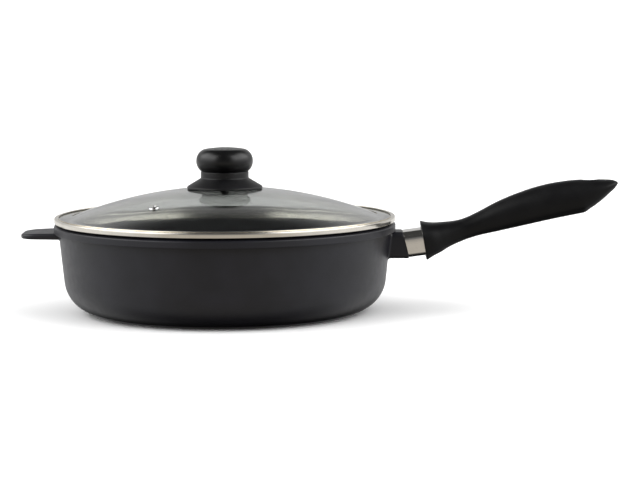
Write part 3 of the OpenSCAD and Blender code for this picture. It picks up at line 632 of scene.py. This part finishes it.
def boss_shell():
    """Boss: its rounded outline carried out from inside the wall to the sloping end, where it draws in
    along a quarter circle, and on as a tenon into the sleeve."""
    edge, shoulder, end_gap = 0.7, 0.4, 0.05
    y, h = rounded_rect(BOSS_W, BOSS_H, BOSS_CORNER).T
    z = h + BOSS_Z + BOSS_LIFT
    rings = [np.stack([np.sqrt((wall_r(z) - WALL_T / 2) ** 2 - y ** 2), y, z], -1)]
    for a in np.radians(np.arange(0, 91, 15)):
        inset = edge * (1 - math.cos(a))
        y, h = rounded_rect(BOSS_W - 2 * inset, BOSS_H - 2 * inset, BOSS_CORNER - inset).T
        end_x = BOSS_X - (h + BOSS_LIFT) * math.tan(SCREW_RISE)
        rings.append(np.stack([end_x - edge * (1 - math.sin(a)), y, h + BOSS_Z + BOSS_LIFT], -1))
    inside = GUARD_T + GUARD_FIT
    width = min(GUARD_W - 2 * inside, BOSS_W - 2 * (edge + shoulder))
    height = GUARD_H - 2 * (inside + edge)
    rings += [guard_outline(width, height, GUARD_CORNER - inside, station) for station in (end_gap, TENON_L)]
    return lofted(rings)


def side_ways(outline):
    """Outward ways, in the outline's plane, square to a closed outline."""
    along = np.roll(outline, -1, 0) - np.roll(outline, 1, 0)
    out = np.stack([along[:, 1], -along[:, 0]], -1)
    return out / np.linalg.norm(out, axis=1, keepdims=True)


def root_on_wall(outline, middle_z, side, radius, spread=0.0):
    """Root of what leaves the wall along x on one side (1 or -1): its path is the outline laid on the
    leaning wall, where x is the root of r^2 - y^2, and its ways follow the wall's slope and the part's own
    sides."""
    y, z = outline[:, 0], outline[:, 1] + middle_z
    r = wall_r(z)
    x = np.sqrt(r * r - y * y)
    ny, nz = side_ways(outline).T
    slope = (-y * ny + r * math.tan(WALL_LEAN) * nz) / x
    path = np.stack([side * x, y, z], -1)
    part = np.stack([side * slope, ny, nz], -1)
    out = np.stack([np.full_like(y, side), -spread * ny, np.zeros_like(y)], -1)
    return fillet(path, out, part, radius)


def boss_root(radius):
    """Root of the boss, along its own outline."""
    return root_on_wall(rounded_rect(BOSS_W, BOSS_H, BOSS_CORNER), BOSS_Z + BOSS_LIFT, 1, radius)


def tongue_outline(inset):
    """Plan of the tongue, drawn in by inset: four arcs of one radius about the corners of a slightly flared
    shape, joined by straight sides."""
    end_x, end_y = -(TONGUE_END - TONGUE_CORNER), TONGUE_W / 2 - TONGUE_CORNER
    root_x, root_y = -(WALL_TOP_R - WALL_T / 2), TONGUE_W / 2 - TONGUE_CORNER + TONGUE_FLARE / 2
    turn = 90 + math.degrees(math.atan2(root_y - end_y, root_x - end_x))
    r = TONGUE_CORNER - inset
    return np.concatenate([arc((root_x, root_y), r, 0, turn, 12), arc((end_x, end_y), r, turn, 180, 20),
        arc((end_x, -end_y), r, 180, 360 - turn, 20), arc((root_x, -root_y), r, 360 - turn, 360, 12)])


def tongue_shell():
    """Tongue: rings of its plan from the middle of the underside out, round the edges along quarter
    circles, and in again over the top, which slopes down over its outer part; what lies inside the wall is
    moved to its middle."""
    low, r = TONGUE_TOP - TONGUE_T, TONGUE_ROUND
    slope_start, slope_run, middle = 149.7, 19.9, np.array([-150.0, 0])
    turns, shares = np.radians(np.arange(0, 91, 15)), (0.3, 0.6, 0.85)
    rings = []
    for share, inset, lift, under in (
            [(s, r, 0.0, True) for s in shares]
            + [(1, r * (1 - math.sin(a)), r * (1 - math.cos(a)), True) for a in turns]
            + [(1, r * (1 - math.cos(a)), r * (1 - math.sin(a)), False) for a in turns]
            + [(s, r, 0.0, False) for s in shares[::-1]]):
        plan = middle + (tongue_outline(inset) - middle) * share
        top = TONGUE_TOP - TONGUE_DROP * np.clip((-plan[:, 0] - slope_start) / slope_run, 0, 1)
        z = np.full_like(top, low + lift) if under else top - lift
        reach = np.linalg.norm(plan, axis=1)
        inside = wall_r(z) - WALL_T / 2
        plan = plan * np.where(reach < inside, inside / reach, 1)[:, None]
        rings.append(np.concatenate([plan, z[:, None]], 1))
    return lofted(rings)


def tongue_root(radius):
    """Root of the tongue, along a rounded rectangle as wide as its flared plan is where it leaves the
    wall."""
    end_x, leave_z = TONGUE_END - TONGUE_CORNER, 66
    flare = TONGUE_FLARE / 2 / (end_x - WALL_TOP_R + WALL_T / 2)
    width = 2 * (TONGUE_W / 2 - TONGUE_CORNER + flare * (end_x - wall_r(leave_z))
        + TONGUE_CORNER / math.cos(math.atan(flare)))
    outline = rounded_rect(width, TONGUE_T, TONGUE_ROUND)
    return root_on_wall(outline, TONGUE_TOP - TONGUE_T / 2, -1, radius, flare)


class SAUTE_OT_flame_guard(bpy.types.Operator):
    """Build the steel sleeve between boss and grip"""
    bl_idname = "saute.flame_guard"
    bl_label = "Flame guard"

    def execute(self, context):
        looks = context.scene.saute_handle
        sleeve = piece("guard_sleeve", [guard_shell()])
        settle(sleeve, "pan", "guard_steel", "flame_guard", drawn_stainless(looks))
        return {"FINISHED"}


def guard_shell():
    """Sleeve: the section's outline goes along outside, draws in by a quarter circle at the end and comes
    back inside, closed on itself."""
    gap, lip, ends = 0.1, 0.25, 1.0
    start_s, end_s = gap, NOSE_END_S - gap
    turns = np.radians([90, 60, 30, 0])
    stops = [(start_s + lip * (1 - math.sin(a)), lip * (1 - math.cos(a))) for a in turns]
    stops += [(s, 0.0) for s in np.linspace(start_s + ends, end_s - ends, 12)]
    stops += [(end_s - lip * (1 - math.sin(a)), lip * (1 - math.cos(a))) for a in turns[::-1]]
    stops += [(end_s, GUARD_T), (start_s, GUARD_T)]
    return skin(np.array([sleeve_outline(inset, s) for s, inset in stops]), rows_close=True)


class SAUTE_OT_grip(bpy.types.Operator):
    """Build the moulded grip with its collar, its screwdriver bore and its hanging hole"""
    bl_idname = "saute.grip"
    bl_label = "Grip"

    def execute(self, context):
        looks = context.scene.saute_handle
        grip = piece("grip", [grip_shell()])
        pocket = lofted([sleeve_outline(-GUARD_FIT, s) for s in (-3 * OVER, NOSE_END_S)])
        screw_bore = rod(0, SCREW_SEAT + OVER, SCREW_BORE_D)
        driver_bore = rod(SCREW_SEAT, COLLAR_S + GRIP_L + GRIP_H, ACCESS_D)
        cut(grip, [pocket, screw_bore, driver_bore, hang_cutter()])
        nose_gap, inside = 0.1, GUARD_T + GUARD_FIT
        nose = lofted([sleeve_outline(inside, s) for s in (TENON_L + nose_gap, NOSE_END_S + OVER)])
        add_shells(grip, [nose])
        settle(grip, "pan", "phenolic_matte", "handle_grip", moulded_phenolic("blasted_moulded_phenolic",
            looks.grip_dark, looks.grip_light, shine=0.17, rough=(0.42, 0.5), grain_mm=1.2, depth_mm=0.03))
        return {"FINISHED"}


def grip_shell():
    """Grip: superellipse sections, whose top, bottom, half width and widest height are smooth curves of the
    place along it, joined into one skin; the collar leans a little, and its edge is drawn in along a
    quarter circle."""
    a = np.linspace(0, 2 * np.pi, 128, endpoint=False)
    c, s = np.cos(a), np.sin(a)
    turn = np.radians(np.linspace(0, 90, 7))
    along = np.r_[np.linspace(0.01, 0.97, 193), np.linspace(0.974, 1, 14)]
    t = np.r_[COLLAR_ROUND / GRIP_L * (1 - np.cos(turn)), along]
    inset = np.r_[COLLAR_ROUND * (1 - np.sin(turn)), np.zeros_like(along)]
    blunt = (2 / (GRIP_BLUNT + (TAIL_BLUNT - GRIP_BLUNT) * t))[:, None]
    across, tall = np.sign(c) * np.abs(c) ** blunt, np.sign(s) * np.abs(s) ** blunt
    top = smooth(GRIP_TOP, t) * GRIP_H - inset
    bottom = smooth(GRIP_BOTTOM, t) * GRIP_H + inset
    side = smooth(GRIP_SIDE, t) * GRIP_W - inset
    belt = bottom + (top - bottom) * smooth(GRIP_BELT, t)
    half = np.where(s > 0, (top - belt)[:, None], (belt - bottom)[:, None])
    height = belt[:, None] + half * tall
    lean = math.tan(COLLAR_LEAN) * np.maximum(0, 1 - t / COLLAR_SHARE)
    station = (COLLAR_S + t * GRIP_L)[:, None] + height * lean[:, None]
    return lofted(on_screw(np.stack([station, side[:, None] * across, height], -1)))


def hang_cutter():
    """Hanging hole: a wide stretch below the screwdriver bore, the true hole above it, and a flaring
    mouth."""
    r, wide = HANG_D / 2, HANG_WIDE_D / 2
    foot = HANG_LEVEL - GRIP_H
    shell = turned(line((0, foot), (wide, foot), (wide, HANG_LEVEL), (r, HANG_LEVEL),
        (r, HANG_Z - HANG_CHAMFER), (r + 2 * HANG_CHAMFER, HANG_Z + HANG_CHAMFER),
        (0, HANG_Z + HANG_CHAMFER)), 90)
    return on_axis(shell, (HANG_X, 0, 0), 0)


class SAUTE_OT_lid_glass(bpy.types.Operator):
    """Build the pressed glass dome of the lid"""
    bl_idname = "saute.lid_glass"
    bl_label = "Lid glass"

    def execute(self, context):
        looks = context.scene.saute_lid
        glass = piece("glass_dome", [glass_shell()], sharp=40)
        settle(glass, "lid", "lid_glass", "lid_glass", toughened_glass(looks))
        return {"FINISHED"}


def glass_shell():
    """Glass: a shallow cap of a sphere, an arc that bends back into a flat flange, and a round edge, with
    its lower face parallel to the upper one, turned about z and open round the knob's screw."""
    half = GLASS_T / 2
    lean = math.degrees(math.atan2(BEND_X, FLANGE_Z + BEND_R - DOME_Z))
    upper, lower = DOME_R + half, DOME_R - half
    upper_hole, lower_hole = [90 - math.degrees(math.asin(GLASS_HOLE_R / r)) for r in (upper, lower)]
    profile = line(arc((0, DOME_Z), upper, upper_hole, 90 - lean, 90),
        arc((BEND_X, FLANGE_Z + BEND_R), BEND_R - half, 270 - lean, 270, 16),
        arc((GLASS_R - half, FLANGE_Z), half, 90, -90, 12),
        arc((BEND_X, FLANGE_Z + BEND_R), BEND_R + half, 270, 270 - lean, 16),
        arc((0, DOME_Z), lower, 90 - lean, lower_hole, 90))
    return turned(profile, sides=360, closed=True)


def glass_top(r):
    """Height of the glass's upper face at a radius."""
    return DOME_Z + math.sqrt((DOME_R + GLASS_T / 2) ** 2 - r * r)


class SAUTE_OT_lid_band(bpy.types.Operator):
    """Build the steel band rolled round the glass"""
    bl_idname = "saute.lid_band"
    bl_label = "Lid band"

    def execute(self, context):
        looks = context.scene.saute_lid
        band = piece("steel_band", [band_shell(looks.weld_dip / MM)], sharp=50)
        settle(band, "lid", "band_steel", "lid_band", rolled_stainless(looks))
        return {"FINISHED"}


def band_shell(weld_dip):
    """Band: a line of strip from the grip on the glass round the edge to the lip inside the pan, given its
    thickness along its own mitres, turned about z. Its inner edge is rolled up into a small hem. The top of
    the face leans in a little, and so does the lip, whose edge turns out again. At the weld the lip hangs
    lower by a bell curve."""
    half = BAND_T / 2
    corner, roll, hem, hem_end = BAND_ROUND - half, 0.35, 0.35, 0.4
    bevel, bevel_h, lip_foot, lip_start = math.radians(10), 1.4, 0.65, 1.3
    inner, flat_z, face_r = BAND_R - BAND_GRIP, BAND_TOP_Z - half, BAND_R - half
    brow_z = BAND_TOP_Z - bevel_h
    brow = (face_r - (flat_z - roll - brow_z) * math.tan(bevel) - roll, flat_z - roll)
    lip_z = np.linspace(BAND_BOTTOM_Z - lip_start, LIP_BOTTOM_Z, 30)
    down = (lip_z[0] - lip_z) / (lip_z[0] - LIP_BOTTOM_Z)
    lip_r = LIP_R + np.interp(down, [0, 0.35, 0.76, 0.84, 1], [0.6, -0.15, -1.15, -1.2, -0.8])
    middle = held(line(arc((inner, flat_z + hem), hem, 60, 270, 14), (inner + hem_end, flat_z),
        arc(brow, roll, 90, math.degrees(bevel), 8), (face_r, brow_z),
        arc((BAND_R - BAND_ROUND, BAND_BOTTOM_Z + BAND_ROUND), corner, 0, -90, 8),
        arc((LIP_R + lip_foot + corner, BAND_BOTTOM_Z + half - corner), corner, 90, 180, 8),
        np.stack([lip_r, lip_z], -1)))
    ways = np.diff(middle, axis=0)
    ways /= np.linalg.norm(ways, axis=1, keepdims=True)
    square = np.stack([-ways[:, 1], ways[:, 0]], -1)
    before, after = np.concatenate([square[:1], square]), np.concatenate([square, square[-1:]])
    mitre = (before + after) / (1 + (before * after).sum(1, keepdims=True))
    profile = np.concatenate([middle + mitre * half, (middle - mitre * half)[::-1]])
    grid, faces, number = turned(profile, sides=360, closed=True)
    dip_h = 1.5
    away = (np.arctan2(grid[..., 1], grid[..., 0]) - WELD_TURN) * LIP_R
    low = np.clip((LIP_BOTTOM_Z + dip_h - grid[..., 2]) / dip_h, 0, 1)
    grid[..., 2] -= weld_dip * low * np.exp(-(away / WELD_REACH) ** 2)
    return grid, faces, number


class SAUTE_OT_eyelet(bpy.types.Operator):
    """Build the steel eyelet of the steam vent"""
    bl_idname = "saute.eyelet"
    bl_label = "Steam eyelet"

    def execute(self, context):
        lean = math.asin(VENT_R / DOME_R)
        place = (VENT_R * math.cos(VENT_TURN), VENT_R * math.sin(VENT_TURN), DOME_Z + DOME_R * math.cos(lean))
        eyelet = piece("vent_ring", [on_axis(eyelet_shell(), place, lean, VENT_TURN)])
        settle(eyelet, "lid", "eyelet_steel", "vent_eyelet", polished_stainless())
        return {"FINISHED"}


def eyelet_shell():
    """Eyelet: a rolled ring over the glass, a shank through it and a spread rim under it, turned about its
    axis."""
    half, bore, shank, flange, h = GLASS_T / 2 + 0.1, 1.6, 2.8, 4.5, 1.6
    return turned(line((bore, -half - h / 3), (bore, half + h / 2),
        arc((bore + h / 2, half + h / 2), h / 2, 180, 90, 8), arc((flange - h, half), h, 62, 0, 10),
        (shank, half), (shank, -half), (flange * 0.9, -half), (flange * 0.8, -half - h / 3)),
        sides=96, closed=True)


class SAUTE_OT_knob(bpy.types.Operator):
    """Build the knob's head and skirt"""
    bl_idname = "saute.knob"
    bl_label = "Knob"

    def execute(self, context):
        looks = context.scene.saute_lid
        head = piece("knob_cap", [turned(head_line(), sides=192)])
        settle(head, "lid", "phenolic_gloss", "knob_head", moulded_phenolic("polished_moulded_phenolic",
            looks.knob_dark, looks.knob_light, shine=0.32, rough=(0.26, 0.34), grain_mm=2.5, depth_mm=0.012))
        skirt = piece("knob_base", [turned(skirt_line(), sides=192, closed=True)])
        settle(skirt, "lid", "phenolic_matte", "knob_skirt", moulded_phenolic("matte_moulded_phenolic",
            looks.skirt_dark, looks.skirt_light, shine=0.3, rough=(0.36, 0.46), grain_mm=1.0, depth_mm=0.02))
        return {"FINISHED"}


def head_line():
    """Head's section: part of an ellipse up from its foot, a slightly crowned top that leaves the ellipse
    at the same slope, and a hollow for the spigot and the insert."""
    top_r, bulge, hollow, insert_r, insert_h = 15.0, 9.0, SPIGOT_R + KNOB_FIT, 4.1, 10.2
    insert_z, tall = SKIRT_TOP_Z + SPIGOT_H, (KNOB_TOP_Z - SKIRT_TOP_Z) * 0.51
    leave = math.atan2(tall, bulge * math.tan(HEAD_CROWN))
    crown_r = (top_r + bulge * math.cos(leave)) / math.sin(HEAD_CROWN)
    middle = KNOB_TOP_Z - crown_r * (1 - math.cos(HEAD_CROWN)) - tall * math.sin(leave)
    a = np.linspace(-math.asin((middle - SKIRT_TOP_Z) / tall), leave, 40)
    side = np.stack([top_r + bulge * np.cos(a), middle + tall * np.sin(a)], -1)
    crown = arc((0, KNOB_TOP_Z - crown_r), crown_r, 90 - math.degrees(HEAD_CROWN), 90, 16)
    lower = line((0, insert_z + insert_h), (insert_r, insert_z + insert_h), (insert_r, insert_z + KNOB_FIT),
        (hollow, insert_z + KNOB_FIT), (hollow, SKIRT_TOP_Z))
    return held(line(lower, side, crown))


def skirt_line():
    """Skirt's section: spigot, neck, flare down to a rolled rim just off the glass, and its hollow
    underside, closed round the screw's hole."""
    rim, neck, thick, edge, rim_h, bore, post, bevel, gap = 31.75, 20.2, 2.6, 1.0, 2.4, 2.3, 6.5, 0.3, 0.2
    top, spigot_z, post_z = SKIRT_TOP_Z, SKIRT_TOP_Z + SPIGOT_H, APEX_Z + 1
    rim_z, shoulder = glass_top(rim) + gap, top - 5.9
    flare = math.atan2(shoulder - rim_z - rim_h, rim - edge - neck)
    slope, inner_neck, inner_rim = math.tan(flare), neck - thick, rim - thick - edge
    lean = math.degrees(flare)
    return held(line((bore, spigot_z), (SPIGOT_R - bevel, spigot_z), (SPIGOT_R, spigot_z - bevel),
        (SPIGOT_R, top), arc((neck - edge, top - edge), edge, 90, 0, 8),
        arc((neck + edge, shoulder + edge * (1 - slope / 2)), edge, 180, 270 - lean, 8),
        arc((rim - edge, rim_z + rim_h - edge), edge, 90 - lean, 0, 8),
        arc((rim - edge / 2, rim_z + edge / 2), edge / 2, 0, -90, 6),
        (inner_rim, glass_top(inner_rim) + gap),
        (inner_neck, shoulder - thick / math.cos(flare) + thick * slope), (inner_neck, top - thick),
        (post, top - thick), (post, post_z), (bore, post_z)), closed=True)


class SAUTE_OT_fastenings(bpy.types.Operator):
    """Give the screws, washers, inserts and the grommet of the CAD their finishes"""
    bl_idname = "saute.fastenings"
    bl_label = "Fastenings"

    def execute(self, context):
        zinc, brass, silicone = zinc_plated_steel(), turned_brass(), moulded_silicone()
        finishes = {"boss_insert": zinc, "handle_screw": zinc, "spring_washer": zinc, "flat_washer": zinc,
            "knob_screw": zinc, "knob_washer": zinc, "knob_insert": brass, "glass_grommet": silicone}
        for name, finish in finishes.items():
            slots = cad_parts[name].material_slots
            if not slots:
                raise RuntimeError(f"{name} has no material slot")
            for place in slots:
                place.material = finish
        return {"FINISHED"}


class SAUTE_OT_stage(bpy.types.Operator):
    """Set up the pale floor, the soft studio light and the camera"""
    bl_idname = "saute.stage"
    bl_label = "Stage, light and camera"

    def execute(self, context):
        scene, looks = context.scene, context.scene.saute_stage
        build_floor(looks)
        build_world(scene, looks)
        scene.view_settings.view_transform = "Standard"
        floor_light(looks.floor_power)
        camera = bpy.data.objects.new("camera", bpy.data.cameras.new("camera"))
        scene.collection.objects.link(camera)
        camera.data.lens, camera.data.sensor_width = CAMERA_LENS, CAMERA_SENSOR
        camera.data.clip_start, camera.data.clip_end = 0.1, 200.0
        camera.matrix_world = (Matrix.Translation(CAMERA_PLACE) @ Matrix.Rotation(CAMERA_PITCH, 4, "X")
            @ Matrix.Rotation(CAMERA_ROLL, 4, "Z"))
        scene.camera = camera
        return {"FINISHED"}


def build_floor(looks):
    """Floor: a flat disc, its rings spaced wider outwards, just below the height that the pan stands on."""
    reach = np.linspace(0, 1, 24) ** 2 * FLOOR_REACH
    floor = piece("floor", [turned(np.stack([reach, np.full_like(reach, -FLOOR_GAP)], -1), sides=96)])
    floor.data.materials.append(pale_paper(looks))
    # The surroundings below the horizon light the pan in the floor's place, as cards round a product do
    floor.visible_diffuse = floor.visible_glossy = False


def build_world(scene, looks):
    """Surroundings, whose brightness follows the way that a ray takes: z is its rise, and depth goes from
    -1 towards the camera's side to 1 towards the back. A pale ground, warm in front and dark where the pan
    stands, meets a pale backdrop that fades to a dark ceiling. A soft box, brighter in its upper part, runs
    along each side, and behind the camera it is dim."""
    world = bpy.data.worlds.new("studio")
    world.use_nodes = True
    tree = world.node_tree
    way = add(tree, "SeparateXYZ", {0: add(tree, "TexCoord").outputs["Generated"]})
    flat = add(tree, "CombineXYZ", {0: way.outputs[0], 1: way.outputs[1]})
    level = add(tree, "VectorMath", {0: flat}, operation="NORMALIZE")
    depth = add(tree, "SeparateXYZ", {0: level}).outputs[1]
    made = {"y": way.outputs[1], "z": way.outputs[2], "depth": depth}
    # A STEP goes smoothly from one value to another while what it reads goes from one place to another
    for name, kind, *inputs in (
            ("fade_start", "STEP", "depth", -0.6, 0.3, 0.2, 0.42),
            ("fade_end", "ADD", "fade_start", 0.26),
            ("horizon", "STEP", "depth", -0.97, -0.6, looks.front_share, looks.backdrop_share),
            ("backdrop", "STEP", "z", "fade_start", "fade_end", "horizon", looks.ceiling_share),
            ("box_front", "STEP", "depth", -0.9, -0.7, 0.0, looks.side_share),
            ("box_back", "STEP", "depth", 0.3, 0.7, 1.0, 0.0),
            ("box_length", "MULTIPLY", "box_front", "box_back"),
            ("box_foot", "STEP", "z", 0.02, 0.1, 0.0, 1.0),
            ("box_middle", "STEP", "z", 0.25, 0.4, 0.3, 1.0),
            ("box_top", "STEP", "z", 0.7, 0.9, 1.0, 0.0),
            ("box_upper", "MULTIPLY", "box_middle", "box_top"),
            ("box_height", "MULTIPLY", "box_foot", "box_upper"),
            ("box", "MULTIPLY", "box_length", "box_height"),
            ("sky", "ADD", "backdrop", "box"),
            ("frontward", "MINIMUM", "y", 0.0),
            ("steep", "SUBTRACT", "z", "frontward"),
            ("open_ground", "STEP", "depth", -1.0, 0.1, looks.ground_share, 0.9),
            ("near_foot", "STEP", "steep", -0.95, -0.45, 0.03, 1.0),
            ("lit_ground", "MULTIPLY", "open_ground", "near_foot"),
            ("below", "STEP", "z", -0.4, -0.15, 0.0, 1.0),
            ("under_pan", "STEP", "depth", 0.82, 0.96, 1.0, "below"),
            ("ground", "MULTIPLY", "lit_ground", "under_pan"),
            ("above", "STEP", "z", -0.07, 0.03, 0.0, 1.0),
            ("low", "STEP", "z", -0.02, 0.0, 1.0, 0.0),
            ("front", "STEP", "depth", -0.9, -0.4, 1.0, 0.0),
            ("warm", "MULTIPLY", "low", "front")):
        values = [made.get(value, value) for value in inputs]
        if kind == "STEP":
            made[name] = add(tree, "MapRange", dict(zip(RANGE, values)), interpolation_type="SMOOTHSTEP")
        else:
            made[name] = add(tree, "Math", dict(enumerate(values)), operation=kind)
    strength = add(tree, "Mix", {0: made["above"], 2: made["ground"], 3: made["sky"]})
    colour = add(tree, "Mix", {0: made["warm"], 6: (*looks.sky, 1), 7: (*looks.ground, 1)}, data_type="RGBA")
    feed(tree, tree.nodes["Background"], {"Color": colour.outputs[2], "Strength": strength})
    scene.world = world


def floor_light(power):
    """Very soft light from straight above that only brightens matte surfaces, above all the floor."""
    light = bpy.data.lights.new("floor_light", "SUN")
    light.energy, light.angle = power, math.radians(110)
    made = bpy.data.objects.new("floor_light", light)
    bpy.context.scene.collection.objects.link(made)
    made.visible_glossy = made.visible_transmission = False


class SAUTE_PT_looks(bpy.types.Panel):
    """Lists the operators and what a user can change"""
    bl_idname = "SAUTE_PT_looks"
    bl_label = "Saute pan"
    bl_space_type = "VIEW_3D"
    bl_region_type = "UI"
    bl_category = "Saute Pan"

    def draw(self, context):
        for operator in OPERATORS:
            self.layout.operator(operator.bl_idname)
        for name, group in GROUPS.items():
            box = self.layout.box()
            for prop in group.__annotations__:
                box.prop(getattr(context.scene, name), prop)


GROUPS = {"saute_pan": PanLooks, "saute_handle": HandleLooks, "saute_lid": LidLooks,
    "saute_stage": StageLooks}
OPERATORS = (SAUTE_OT_pan_body, SAUTE_OT_flame_guard, SAUTE_OT_grip, SAUTE_OT_lid_glass, SAUTE_OT_lid_band,
    SAUTE_OT_eyelet, SAUTE_OT_knob, SAUTE_OT_fastenings, SAUTE_OT_stage)


def register():
    for made in (*GROUPS.values(), *OPERATORS, SAUTE_PT_looks):
        bpy.utils.register_class(made)
    for name, group in GROUPS.items():
        setattr(bpy.types.Scene, name, PointerProperty(type=group))


def unregister():
    for name in GROUPS:
        delattr(bpy.types.Scene, name)
    for made in reversed((*GROUPS.values(), *OPERATORS, SAUTE_PT_looks)):
        bpy.utils.unregister_class(made)


def main():
    register()
    for operator in OPERATORS:
        group, name = operator.bl_idname.split(".")
        if getattr(getattr(bpy.ops, group), name)() != {"FINISHED"}:
            raise RuntimeError(f"{operator.bl_idname} didn't finish")


if __name__ == "__main__":
    main()
